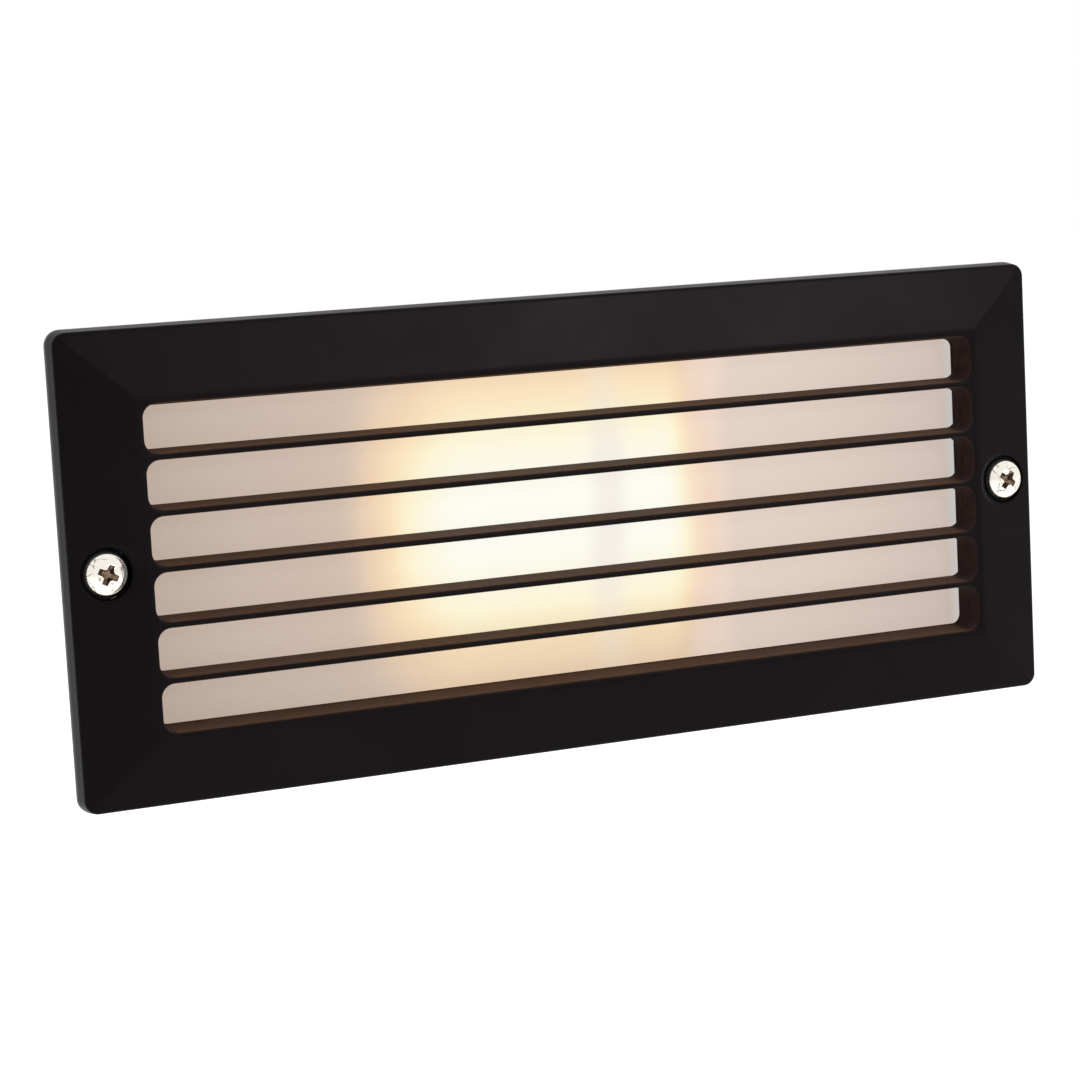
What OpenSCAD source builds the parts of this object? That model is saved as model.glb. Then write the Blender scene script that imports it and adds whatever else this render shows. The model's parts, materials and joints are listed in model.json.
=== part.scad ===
// Brick light: a recessed wall light with a louvred cover, which takes the place of one brick.
// X runs along the cover, Y goes into the wall and Z is up. The face of the wall is the plane Y = 0,
// and the origin is the middle of the opening in the brickwork.

/* [Cover] */
// Width of the cover at the edge where its sloping faces begin
cover_w = 240; // [239:0.5:250]
// Height of the cover at that edge
cover_h = 103.4; // [103:0.2:114]
// How far that edge stands in front of the wall
rim_d = 5.4; // [5:0.1:7]
// How far the flat land around the slots stands in front of the edge
rise = 3.45; // [2.8:0.05:3.8]
// How much the rim widens on each side towards the wall
rim_draft = 0.45; // [0.2:0.05:0.8]
// Radius of the four outer corners
corner_r = 3; // [2:0.25:5]
// Radius along the front outer edge
edge_r = 0.8; // [0.5:0.1:1]
// Wall of the cover shell
shell_t = 2.2; // [2:0.1:2.4]

/* [Louvre] */
// Number of slots
slot_n = 6; // [4:1:6]
// Distance from one slot to the next
slot_pitch = 12.06; // [11.8:0.02:12.1]
// Height of each slot behind its rounded mouth
slot_h = 10.68; // [9.6:0.02:10.8]
// Width of the face beside the slots, from their walls to the short edges of the cover
band_x = 17.65; // [17.2:0.05:19]
// Radius of the slot corners
slot_r = 3; // [2:0.1:4]
// Radius of the rounded mouth of each slot
mouth_r = 0.5; // [0.3:0.05:0.6]
// How much each slot narrows on each side towards the back of the bars
slot_draft = 0.55; // [0.3:0.05:0.8]
// Depth of the louvre bars from front to back
bar_d = 7.4; // [5:0.2:7.4]
// Width of the land around the slots
land_w = 1; // [0.8:0.1:1.2]
// Radius of the soft step from the land to the sloping faces
land_r = 5; // [3:0.5:6]

/* [Glass] */
// Thickness of the frosted glass
glass_t = 4; // [3:0.5:4]
// Overlap of the glass on its seat, along each edge
glass_lap = 2.2; // [1.6:0.1:2.3]
// Thickness of the squeezed gasket in front of the glass
glass_seal_t = 0.5; // [0.3:0.1:0.8]
// Gap between the cover's front land and the glass
glass_set = 8.35; // [8.2:0.05:8.8]
// Clearance around the edge of the glass
glass_gap = 0.3; // [0.2:0.05:0.5]
// Wall of the skirt around the glass
skirt_t = 1.7; // [1.4:0.1:2]

/* [Back box] */
// Depth of the box behind the face of the wall
box_d = 70; // [68:1:90]
// Wall of the box
box_t = 2.2; // [1.8:0.1:2.6]
// How much the box narrows on each side over its depth
box_draft = 10; // [8:0.5:10]
// Clearance between the skirt of the cover and the mouth of the box, along the short sides of the box
mouth_gap_x = 4.5; // [4.4:0.1:5]
// The same clearance along the long sides
mouth_gap_z = 1.1; // [1:0.1:1.6]
// Radius of the box corners at the mouth
box_r = 13; // [12:0.5:14]
// Thickness of the flange that bears on the brickwork
flange_t = 1.2; // [1:0.1:1.4]
// Thickness of the squeezed gasket between flange and cover
box_seal_t = 0.8; // [0.6:0.1:1.2]
// Gap between the edge of the cover and the flange
rim_gap = 0.2; // [0.15:0.05:0.4]
// Diameter of the two cable entries
entry_hole_d = 20; // [16:0.5:20]
// Distance of the first cable entry from the short side of the box mouth
entry_inset = 24.25; // [23.5:0.25:26]
// Distance between the two cable entries
entry_pitch = 26; // [25.5:0.5:27]
// Height of the cable entries above the middle
entry_z = 14; // [13:0.5:15]
// Diameter of the two fixing holes in the back wall
fixing_hole_d = 5; // [4:0.5:6]
// Distance of the fixing holes from the short sides of the box mouth
fixing_inset = 50.25; // [49.5:0.25:52]

/* [Cover screws] */
// Distance of each cover screw from the short edge of the cover
screw_inset = 7.93; // [7.6:0.01:8]
// Thread diameter of the cover screws
screw_d = 4; // [3.5:0.5:4]
// Length of the cover screws under the head
screw_len = 16; // [14:0.5:17]
// Diameter of the screw heads
screw_head_d = 9; // [8:0.2:9.2]
// Height of the screw heads
screw_head_h = 2.7; // [2.2:0.1:3]
// Diameter of the counterbore around each head
counterbore_d = 11.2; // [10.6:0.2:11.6]
// Width of the chamfer at the mouth of the counterbore
counterbore_edge = 0.6; // [0.3:0.1:0.8]
// Depth of the counterbore floor behind the front outer edge
counterbore_set = 0.4; // [0.2:0.1:0.8]
// Thickness of the sealing washers
washer_t = 0.8; // [0.6:0.1:1.2]
// Length of the threaded inserts
insert_len = 8; // [6:0.5:9]
// Radial running clearance between thread and insert
thread_gap = 0.04; // [0.02:0.01:0.08]

/* [Lamp] */
// Clearance between the lamp bulb and the glass
lamp_gap_front = 5; // [4.5:0.25:6]
// Clearance between the lamp bulb and the reflector tray
lamp_gap_rear = 1.7; // [1.5:0.1:3]
// Length of the lamp
lamp_len = 98; // [92:1:100]
// Outside diameter of the lamp cap's thread
cap_d = 26.2; // [26:0.1:26.4]
// Pitch of the lamp thread
cap_pitch = 3.6; // [3.4:0.1:3.8]
// Radial clearance of the cap in its shell
cap_gap = 0.3; // [0.2:0.05:0.4]

/* [Lamp holder] */
// Diameter of the porcelain body
holder_d = 40; // [38:0.5:42]
// Distance of the bracket from the short side of the box mouth
holder_inset = 23.25; // [22.5:0.25:25]
// Length of the porcelain body
holder_len = 47; // [46:0.5:48]
// Depth of the lamp in the holder
lamp_depth = 27; // [26:0.5:28]
// Thickness of the bracket
bracket_t = 1.5; // [1.2:0.1:2]

/* [Wiring] */
// Diameter of the wires over their sleeving
wire_d = 2.4; // [2:0.1:2.6]
// Distance between the poles of the terminal block
pole_pitch = 10; // [9.5:0.5:10]
// Number of poles
pole_n = 3; // [2:1:3]

/* [Hidden] */
$fn = 64;
eps = 0.01;
over = 1;

// Planes of the cover, all measured from the wall
front_y = -rim_d;
land_y = front_y - rise;
rim_rear_y = -(flange_t + rim_gap);
seal_y = -(flange_t + box_seal_t);
bar_rear_y = land_y + bar_d;
glass_y = land_y + glass_set;
seat_y = glass_y - glass_seal_t;
glass_rear_y = glass_y + glass_t;

// Half sizes of the louvre, the land and the seat of the glass
slot_hw = cover_w / 2 - band_x;
slot_hh = slot_h / 2;
group_hh = (slot_n - 1) / 2 * slot_pitch + slot_hh;
land_hw = slot_hw + mouth_r + land_w;
land_hh = group_hh + mouth_r + land_w;
well_hw = slot_hw - slot_draft;
well_hh = group_hh - slot_draft;
well_draft = 0.25;
glass_hw = well_hw - well_draft + glass_lap;
glass_hh = well_hh - well_draft + glass_lap;
glass_r = 2.5;
skirt_hw = glass_hw + glass_gap + skirt_t;
skirt_hh = glass_hh + glass_gap + skirt_t;
skirt_r = glass_r + glass_gap + skirt_t;
skirt_rear_y = glass_rear_y - 0.3;

// Half sizes of the box at its mouth
mouth_hw = skirt_hw + mouth_gap_x;
mouth_hh = skirt_hh + mouth_gap_z;
box_hw = mouth_hw + box_t;
box_hh = mouth_hh + box_t;
mouth_r_in = box_r - box_t;
floor_y = box_d - box_t;
floor_draft = round(100 * box_draft * floor_y / box_d) / 100;
entry_x = mouth_hw - entry_inset;
fixing_x = mouth_hw - fixing_inset;
flange_hw = cover_w / 2 + rim_draft;
flange_hh = cover_h / 2 + rim_draft;
flange_r = corner_r + rim_draft;

// Gasket around the mouth of the box and the landing rib that squeezes it
seal_w = 3.6;
seal_hw = mouth_hw + 0.6;
seal_hh = mouth_hh + 0.6;
rib_t = 2;
rib_hw = box_hw + 0.8;
rib_hh = box_hh + 1.6;

// Cover screws and their bosses
screw_x = cover_w / 2 - screw_inset;
counterbore_y = front_y + counterbore_set;
head_base_y = counterbore_y - washer_t;
pillar_d = 11;
chamfer_y = front_y - screw_inset * rise / (cover_w / 2 - land_hw) + counterbore_edge;
hole_gap = 0.25;
insert_d = 5.6;
boss_d = 8.4;
boss_len = screw_len + head_base_y + 2.8;

// Posts and clips that hold the glass
post_d = 6;
post_x = skirt_hw + 0.2;
post_z = 25;
clip_t = 0.8;
clip_w = 8;
clip_reach = 3;
small_screw_d = 3;
small_head_d = 5.5;
small_head_h = 1.8;
clip_screw_len = 7;
pilot_gap = 0.05;
tip_gap = 0.2;

// Reflector tray, which lies between the lamp and the floor of the box
tray_t = 0.8;
tray_pad_h = 1.8;
tray_y = floor_y - tray_pad_h - tray_t;

// Lamp and holder
lamp_d = tray_y - glass_rear_y - lamp_gap_front - lamp_gap_rear;
lamp_y = glass_rear_y + lamp_gap_front + lamp_d / 2;
bracket_x = holder_inset - mouth_hw;
holder_x = bracket_x + bracket_t;
rim_x = holder_x + holder_len;
lamp_base_x = rim_x - lamp_depth;
lamp_end_x = lamp_base_x + lamp_len;
holder_screw_z = 13;
holder_screw_depth = 7;
wire_exit_z = 3.6;
cap_r = cap_d / 2;
shell_r = cap_r + cap_gap;
shell_wall = 0.6;
thread_h = 0.7;
bracket_hw = 17;
bracket_hole_d = 16;
bracket_front_y = lamp_y - holder_d / 2 + 3;
foot_len = 12;
pad_h = 5;
foot_y = floor_y - pad_h - bracket_t;
foot_screw_x = bracket_x - foot_len / 2 - 0.5;
foot_screw_z = 10;
fix_screw_d = 4;
fix_head_d = 7.2;
fix_head_h = 2.2;

// Reach of the reflector tray and its turned-up wings
tray_x0 = bracket_x + 37;
tray_x1 = entry_x - entry_pitch - 14;
tray_wing_z = 28;
tray_wing_y = lamp_y + 18;
tray_flat = tray_wing_z - 8;
tray_screw_x = [tray_x0 + 7, tray_x1 - 5];

// Terminal block, clamp and earth
block_x0 = entry_x - 18;
block_len = pole_n * pole_pitch;
block_z0 = -24;
block_w = 14;
block_h = 13;
block_pad = 2;
block_y = floor_y - block_pad - block_h;
pole_y = block_y + 7;
tube_d = 5;
tube_bore = 3;
tube_screw_z = 3.4;
turret_d = 6.4;
turret_h = 2;
pole_gap = 0.8;
grub_len = 6.5;
grub_slot_w = 0.6;
grub_slot_h = 1;
clamp_z = -4.5;
clamp_w = 7;
clamp_t = 2.4;
clamp_pad_h = 7;
clamp_hole_x = 9;
grip_w = 8;
grip_h = 1.6;
grip_r = 6;
clamp_y = floor_y - clamp_pad_h - clamp_t;
earth_x = bracket_x + 11;
earth_z = -19;
earth_pad_h = 4;
tag_t = 0.8;
earth_y = floor_y - earth_pad_h;

// Pads on the floor of the box, each as [X, Z, height]; a screw goes into each of them
pad_d = 7;
pilot_depth = 1.6;
entry_pad_h = 0.8;
floor_pads = [
    [foot_screw_x, -foot_screw_z, pad_h], [foot_screw_x, foot_screw_z, pad_h],
    [tray_screw_x[0], 0, tray_pad_h], [tray_screw_x[1], 0, tray_pad_h],
    [entry_x - clamp_hole_x, clamp_z, clamp_pad_h], [entry_x + clamp_hole_x, clamp_z, clamp_pad_h],
    [earth_x, earth_z, earth_pad_h]
];

// Grommet and plug
groove_gap = 0.1;
lip_r = 2;
lip_t = 2;
cable_d = 8;

function pole_x(i) = block_x0 + pole_pitch * (i + 0.5);

// Turns a shape that stands on Z so that it points along +Y
module along_y() {
    rotate([-90, 0, 0]) children();
}

// Turns a shape that stands on Z so that it points along +X
module along_x() {
    rotate([0, 90, 0]) children();
}

// Places a copy on the right and a mirrored copy on the left
module both_sides() {
    children();
    mirror([1, 0, 0]) children();
}

// A profile in X and Y, drawn out along Z
module profile_x(length) {
    linear_extrude(height = length, center = true) children();
}

// A profile in Z and Y, drawn out along X
module profile_z(length) {
    rotate([0, -90, 0]) linear_extrude(height = length, center = true) children();
}

// Symmetric tapering section, half as wide at each plane as given
module taper_section(half0, half1, y0, y1) {
    polygon([[-half0, y0], [half0, y0], [half1, y1], [-half1, y1]]);
}

// Rectangular block with rounded corners, from plane y0 to plane y1, narrower by shrink on each side at y1
module tapered_block(hw, hh, r, shrink, y0, y1) {
    profile_x(2 * (hh - r)) taper_section(hw, hw - shrink, y0, y1);
    profile_z(2 * (hw - r)) taper_section(hh, hh - shrink, y0, y1);
    for (x = [-1, 1], z = [-1, 1])
        translate([x * (hw - r), y0, z * (hh - r)])
            along_y() cylinder(r1 = r, r2 = r - shrink, h = y1 - y0);
}

// Pan head with a crossed recess; the seat of the head is Z = 0 and the head stands along +Z
module pan_head(d, h) {
    crown = h * 0.62;
    ball_r = (d * d / 4 + crown * crown) / (2 * crown);
    recess_span = d * 0.56;
    recess_w = d * 0.15;
    recess_depth = h * 0.62;
    difference() {
        intersection() {
            cylinder(d = d, h = h);
            translate([0, 0, h - ball_r]) sphere(r = ball_r);
        }
        translate([0, 0, h - recess_depth]) intersection() {
            cylinder(d1 = recess_w, d2 = recess_span, h = recess_depth + eps);
            union() {
                translate([-d / 2, -recess_w / 2, 0]) cube([d, recess_w, h]);
                translate([-recess_w / 2, -d / 2, 0]) cube([recess_w, d, h]);
                cylinder(d1 = recess_w, d2 = recess_w * 2.1, h = recess_depth + eps);
            }
        }
    }
}

// Whole screw: the head stands along +Z, the shank goes down from Z = 0
module pan_screw(d, length, head_d, head_h) {
    tip = d * 0.2;
    pan_head(head_d, head_h);
    translate([0, 0, -length + tip]) cylinder(d = d, h = length - tip + eps);
    translate([0, 0, -length]) cylinder(d1 = d - 2 * tip, d2 = d, h = tip + eps);
}

// Screw into a pad of the box, with its head towards the room; y is the plane of its seat and grip is the
// thickness of what it holds, together with the height of the pad
module floor_screw(x, y, z, grip) {
    translate([x, y, z]) rotate([90, 0, 0])
        pan_screw(fix_screw_d, grip + pilot_depth - tip_gap, fix_head_d, fix_head_h);
}

// Round bar along Y between two planes
module bar_y(x, z, d, y0, y1) {
    translate([x, y0, z]) along_y() cylinder(d = d, h = y1 - y0);
}

// Rounded front edge as points [distance inside the edge of the cover, Y], from the rim to the slope
function edge_arc() =
    let(turn = 90 - atan2(rise, band_x - mouth_r - land_w), y = front_y + edge_r * tan(turn / 2), steps = 6)
    [for (i = [0:steps]) let(a = turn * i / steps)
        [round(1000 * edge_r * (1 - cos(a))) / 1000, round(1000 * (y - edge_r * sin(a))) / 1000]];

// Soft step from a slope to the land as points [X, Y]
function land_arc(half, land_half) =
    let(turn = atan2(rise, half - land_half), x = land_half - land_r * tan(turn / 2), steps = 4)
    [for (i = [steps:-1:0]) let(a = turn * i / steps) [x + land_r * sin(a), land_y + land_r * (1 - cos(a))]];

// Outer section of the cover from one side to the other: rim, rounded edge, slopes and land
module cover_section(half, land_half) {
    right = concat([[half + rim_draft, rim_rear_y]], [for (q = edge_arc()) [half - q[0], q[1]]],
        land_arc(half, land_half));
    left = [for (i = [len(right) - 1:-1:0]) [-right[i][0], right[i][1]]];
    polygon(concat(right, left));
}

// Rounded outer corner of the cover, turned about the axis of the corner
module cover_corner() {
    q = edge_arc();
    low = min(rise / (cover_w / 2 - land_hw), rise / (cover_h / 2 - land_hh));
    last = q[len(q) - 1];
    top_r = 0.15;
    top_y = round(1000 * (last[1] - (corner_r - top_r - last[0]) * low)) / 1000;
    along_y() rotate_extrude() polygon(concat(
        [[0, rim_rear_y], [corner_r + rim_draft, rim_rear_y]], [for (v = q) [corner_r - v[0], v[1]]],
        [[top_r, top_y], [0, top_y]]));
}

// Inner section of the cover shell, one wall in from the outer section
module shell_section(half, land_half) {
    run = half - land_half;
    back = shell_t * sqrt(run * run + rise * rise) / run;
    inner = half - shell_t;
    roof = front_y + back - (half - inner) * rise / run;
    polygon([
        [-inner, rim_rear_y + over], [inner, rim_rear_y + over],
        [inner, roof], [land_half, land_y + back], [-land_half, land_y + back], [-inner, roof]
    ]);
}

// Half of a slot's section, from a line inside the slot out to its wall
module slot_half_section(half) {
    rear = half - slot_draft;
    wall_y = land_y + mouth_r;
    polygon([[0, bar_rear_y + eps], [rear, bar_rear_y + eps], [half, wall_y], [0, wall_y]]);
    translate([0, land_y - over]) square([half + mouth_r, over + eps]);
    translate([0, land_y]) difference() {
        square([half + mouth_r, mouth_r]);
        translate([half + mouth_r, mouth_r]) circle(r = mouth_r);
    }
}

module slot_section(half) {
    slot_half_section(half);
    mirror([1, 0]) slot_half_section(half);
}

// Void of one louvre slot
module slot_void() {
    profile_x(2 * (slot_hh - slot_r)) slot_section(slot_hw);
    profile_z(2 * (slot_hw - slot_r)) slot_section(slot_hh);
    for (x = [-1, 1], z = [-1, 1])
        translate([x * (slot_hw - slot_r), 0, z * (slot_hh - slot_r)])
            along_y() rotate_extrude() slot_half_section(slot_r);
}

// Shoulder of the landing rib, which squeezes the box gasket
module landing_rib() {
    difference() {
        tapered_block(rib_hw, rib_hh, box_r, 0, land_y + shell_t, seal_y);
        tapered_block(rib_hw - rib_t, rib_hh - rib_t, box_r - rib_t, 0, land_y, seal_y + over);
    }
}

module front_cover() color([0.16, 0.15, 0.15]) difference() {
    union() {
        difference() {
            union() {
                difference() {
                    intersection() {
                        profile_x(cover_h + 2 * rim_draft + over) cover_section(cover_w / 2, land_hw);
                        profile_z(cover_w + 2 * rim_draft + over) cover_section(cover_h / 2, land_hh);
                    }
                    for (x = [0, 1], z = [0, 1]) mirror([x, 0, 0]) mirror([0, 0, z])
                        translate([cover_w / 2 - corner_r, land_y, cover_h / 2 - corner_r])
                            cube([2 * corner_r, rim_rear_y - land_y + over, 2 * corner_r]);
                }
                for (x = [-1, 1], z = [-1, 1])
                    translate([x * (cover_w / 2 - corner_r), 0, z * (cover_h / 2 - corner_r)]) cover_corner();
            }
            intersection() {
                profile_x(cover_h) shell_section(cover_w / 2, land_hw);
                profile_z(cover_w) shell_section(cover_h / 2, land_hh);
            }
        }
        intersection() {
            union() {
                tapered_block(skirt_hw, skirt_hh, skirt_r, 0, land_y + shell_t / 2, skirt_rear_y);
                landing_rib();
                both_sides() bar_y(screw_x, 0, pillar_d, front_y + eps, seal_y);
                both_sides() for (z = [-post_z, post_z])
                    bar_y(post_x, z, post_d, front_y + shell_t / 2, glass_rear_y);
            }
            union() {
                profile_z(cover_w) cover_section(cover_h / 2, land_hh);
                translate([-cover_w / 2, rim_rear_y - eps, -cover_h / 2])
                    cube([cover_w, glass_rear_y - rim_rear_y + over, cover_h]);
            }
        }
    }
    for (i = [0:slot_n - 1]) translate([0, 0, (i - (slot_n - 1) / 2) * slot_pitch]) slot_void();
    tapered_block(well_hw, well_hh, slot_r - slot_draft, well_draft, bar_rear_y, seat_y + eps);
    tapered_block(glass_hw + glass_gap, glass_hh + glass_gap, glass_r + glass_gap, 0, seat_y,
        glass_rear_y + over);
    both_sides() {
        bar_y(screw_x, 0, counterbore_d, land_y - over, counterbore_y);
        translate([screw_x, land_y, 0]) along_y()
            cylinder(d1 = counterbore_d + 2 * (chamfer_y - land_y), d2 = counterbore_d, h = chamfer_y - land_y);
        bar_y(screw_x, 0, screw_d + 2 * hole_gap, land_y, seal_y + over);
        for (z = [-post_z, post_z])
            bar_y(post_x, z, small_screw_d + 2 * pilot_gap,
                glass_rear_y - clip_screw_len, glass_rear_y + over);
    }
}

module glass_panel() color([0.93, 0.87, 0.8])
    tapered_block(glass_hw, glass_hh, glass_r, 0, glass_y, glass_rear_y);

module glass_gasket() color([0.12, 0.12, 0.12]) difference() {
    tapered_block(glass_hw, glass_hh, glass_r, 0, seat_y, glass_y);
    tapered_block(well_hw, well_hh, slot_r - slot_draft, 0, seat_y - over, glass_y + over);
}

module glass_clips() color([0.75, 0.76, 0.78]) both_sides() for (z = [-post_z, post_z]) {
    x0 = glass_hw - clip_reach;
    difference() {
        union() {
            translate([x0, glass_rear_y, z - clip_w / 2]) cube([post_x - x0, clip_t, clip_w]);
            bar_y(post_x, z, post_d, glass_rear_y, glass_rear_y + clip_t);
        }
        bar_y(post_x, z, small_screw_d + 2 * hole_gap, glass_rear_y - over, glass_rear_y + clip_t + over);
    }
}

module clip_screws() color([0.8, 0.8, 0.82]) both_sides() for (z = [-post_z, post_z])
    translate([post_x, glass_rear_y + clip_t, z]) rotate([-90, 0, 0])
        pan_screw(small_screw_d, clip_screw_len + clip_t - 2 * tip_gap, small_head_d, small_head_h);

// Cover screw on one side; its crossed recess stands as far round as it was left when tightened
module cover_screw(side, angle) color([0.85, 0.85, 0.87])
    translate([side * screw_x, head_base_y, 0]) rotate([90, 0, 0]) rotate([0, 0, angle])
        pan_screw(screw_d, screw_len, screw_head_d, screw_head_h);

module left_screw() cover_screw(-1, -26);

module right_screw() cover_screw(1, -35);

module seal_washer(side) color([0.1, 0.1, 0.1]) difference() {
    bar_y(side * screw_x, 0, screw_head_d + 0.6, head_base_y, counterbore_y);
    bar_y(side * screw_x, 0, screw_d + 2 * thread_gap, head_base_y - over, counterbore_y + over);
}

module left_washer() seal_washer(-1);

module right_washer() seal_washer(1);

module screw_inserts() color([0.78, 0.62, 0.3]) both_sides() difference() {
    bar_y(screw_x, 0, insert_d, -flange_t, insert_len - flange_t);
    bar_y(screw_x, 0, screw_d + 2 * thread_gap, -flange_t - over, insert_len - flange_t + over);
}

// Round hole through the floor of the box
module floor_hole(x, z, d) {
    bar_y(x, z, d, floor_y - over, box_d + over);
}

// Blind pilot hole of a screw that goes through a pad into the floor of the box
module pilot_hole(x, z, h) {
    bar_y(x, z, fix_screw_d + 2 * pilot_gap, floor_y - h - over, floor_y + pilot_depth);
}

module back_box() color([0.2, 0.2, 0.21]) {
    difference() {
        union() {
            difference() {
                union() {
                    tapered_block(flange_hw, flange_hh, flange_r, 0, -flange_t, 0);
                    tapered_block(box_hw, box_hh, box_r, box_draft, -eps, box_d);
                }
                tapered_block(mouth_hw, mouth_hh, mouth_r_in, 0, -flange_t - over, 0);
                tapered_block(mouth_hw, mouth_hh, mouth_r_in, floor_draft, 0, floor_y);
            }
            both_sides() bar_y(screw_x, 0, boss_d, -flange_t, boss_len);
            for (x = [entry_x, entry_x - entry_pitch])
                bar_y(x, entry_z, entry_hole_d + 2 * box_t, floor_y - entry_pad_h, floor_y + eps);
            for (p = floor_pads) bar_y(p[0], p[1], pad_d, floor_y - p[2], floor_y + eps);
        }
        both_sides() bar_y(screw_x, 0, insert_d, -flange_t - over, insert_len - flange_t);
        both_sides() bar_y(screw_x, 0, screw_d + 1, 0, boss_len - 1.2);
        for (x = [entry_x, entry_x - entry_pitch]) floor_hole(x, entry_z, entry_hole_d);
        for (side = [-1, 1]) floor_hole(side * fixing_x, 0, fixing_hole_d);
        for (p = floor_pads) pilot_hole(p[0], p[1], p[2]);
    }
}

module box_gasket() color([0.09, 0.09, 0.09]) difference() {
    union() {
        difference() {
            tapered_block(seal_hw + seal_w, seal_hh + seal_w, mouth_r_in + seal_w, 0, seal_y, -flange_t);
            tapered_block(seal_hw, seal_hh, mouth_r_in, 0, seal_y - over, -flange_t + over);
        }
        both_sides() bar_y(screw_x, 0, boss_d, seal_y, -flange_t);
    }
    both_sides() bar_y(screw_x, 0, screw_d + 1, seal_y - over, -flange_t + over);
}

// Rubber body in a cable entry: a lip on each side of the floor and a groove between them
module entry_body(x, bore) {
    d = entry_hole_d - 2 * groove_gap;
    inner_y = floor_y - entry_pad_h;
    difference() {
        union() {
            bar_y(x, entry_z, d, inner_y - lip_t, box_d + lip_t);
            bar_y(x, entry_z, d + 2 * lip_r, inner_y - lip_t, inner_y);
            translate([x, box_d, entry_z]) along_y() cylinder(d1 = d + 2 * lip_r, d2 = d, h = lip_t);
        }
        if (bore > 0) bar_y(x, entry_z, bore, inner_y - lip_t - over, box_d + lip_t + over);
        if (bore == 0) bar_y(x, entry_z, d - 5, box_d - 1, box_d + lip_t + over);
    }
}

module cable_grommet() color([0.13, 0.13, 0.14]) entry_body(entry_x, cable_d);

module entry_plug() color([0.13, 0.13, 0.14]) entry_body(entry_x - entry_pitch, 0);

module reflector_tray() color([0.92, 0.92, 0.9]) difference() {
    translate([(tray_x0 + tray_x1) / 2, 0, 0]) profile_z(tray_x1 - tray_x0)
        polygon([
            [-tray_flat, tray_y + tray_t], [tray_flat, tray_y + tray_t],
            [tray_wing_z, tray_wing_y], [tray_wing_z - tray_t, tray_wing_y],
            [tray_flat - tray_t / 2, tray_y], [-tray_flat + tray_t / 2, tray_y],
            [-tray_wing_z + tray_t, tray_wing_y], [-tray_wing_z, tray_wing_y]
        ]);
    for (x = tray_screw_x)
        bar_y(x, 0, fix_screw_d + 2 * hole_gap, tray_y - over, tray_y + tray_t + over);
}

module tray_screws() color([0.8, 0.8, 0.82]) for (x = tray_screw_x)
    floor_screw(x, tray_y, 0, tray_t + tray_pad_h);

// Steel angle that carries the lamp holder
module holder_bracket() color([0.72, 0.73, 0.75]) difference() {
    union() {
        translate([bracket_x, lamp_y, -bracket_hw])
            cube([bracket_t, foot_y + bracket_t - lamp_y, 2 * bracket_hw]);
        intersection() {
            translate([bracket_x, lamp_y, 0]) along_x() cylinder(r = bracket_hw, h = bracket_t);
            translate([bracket_x, bracket_front_y - over, -bracket_hw])
                cube([bracket_t, holder_d, 2 * bracket_hw]);
        }
        translate([bracket_x - foot_len, foot_y, -bracket_hw])
            cube([foot_len + bracket_t, bracket_t, 2 * bracket_hw]);
    }
    translate([bracket_x - over, lamp_y, 0]) along_x() cylinder(d = bracket_hole_d, h = bracket_t + 2 * over);
    for (z = [-1, 1]) translate([bracket_x - over, lamp_y, z * holder_screw_z])
        along_x() cylinder(d = small_screw_d + 2 * hole_gap, h = bracket_t + 2 * over);
    for (z = [-foot_screw_z, foot_screw_z])
        bar_y(foot_screw_x, z, fix_screw_d + 2 * hole_gap, foot_y - over, foot_y + bracket_t + over);
}

module bracket_screws() color([0.8, 0.8, 0.82]) for (z = [-foot_screw_z, foot_screw_z])
    floor_screw(foot_screw_x, foot_y, z, bracket_t + pad_h);

// Revolved section about the lamp's axis; the section is drawn as [distance along X, radius]
module turned(x) {
    translate([x, lamp_y, 0]) along_x() rotate_extrude() children();
}

shell_back = lamp_base_x - 2.5;
shell_front = rim_x - 3;

// Porcelain body: waisted outside, open towards the lamp and hollow behind for the wires
module holder_body() color([0.95, 0.94, 0.9]) {
    r = holder_d / 2;
    waist = 3;
    rim_edge = 1.5;
    wire_room_r = 7;
    wire_room_len = 6;
    bore = shell_r + thread_h + shell_wall + 0.15;
    seat = shell_back - shell_wall - holder_x - 0.1;
    difference() {
        turned(holder_x) difference() {
            polygon([
                [0, 0], [r - 2.5, 0], [r - 1.5, 1], [r - 1.5, 9], [r - waist, 12], [r - waist, seat],
                [r - 0.5, seat + 4], [r, seat + 8], [r, holder_len - rim_edge],
                [r - rim_edge, holder_len], [0, holder_len]
            ]);
            translate([0, seat]) square([bore, holder_len]);
            translate([0, -over]) square([wire_room_r, wire_room_len + over]);
        }
        for (z = [-1, 1]) {
            translate([holder_x - over, lamp_y, z * holder_screw_z])
                along_x() cylinder(d = small_screw_d + 2 * pilot_gap, h = holder_screw_depth + 1 + over);
            translate([holder_x + wire_room_len - over, lamp_y, z * wire_exit_z])
                along_x() cylinder(d = wire_d + 0.4, h = wire_room_len - over);
        }
    }
}

// Wave of the lamp thread as points [radius, distance], with its crests at the given radius
function thread_wave(r, turns, start) = [
    for (i = [0:8 * turns]) [r - thread_h / 2 * (1 - cos(45 * i)), start + cap_pitch * i / 8]
];

module holder_shell() color([0.8, 0.68, 0.38]) {
    turns = 5;
    length = shell_front - shell_back;
    inner = thread_wave(shell_r + thread_h, turns, 2);
    outer = [for (i = [len(inner) - 1:-1:0]) inner[i] + [shell_wall, 0]];
    turned(shell_back) polygon(concat(
        [[6, 0], [shell_r + thread_h, 0]], inner, [[shell_r + thread_h, length]],
        [[shell_r + thread_h + shell_wall, length]], outer,
        [[shell_r + thread_h + shell_wall, -shell_wall], [6, -shell_wall]]));
}

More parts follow.
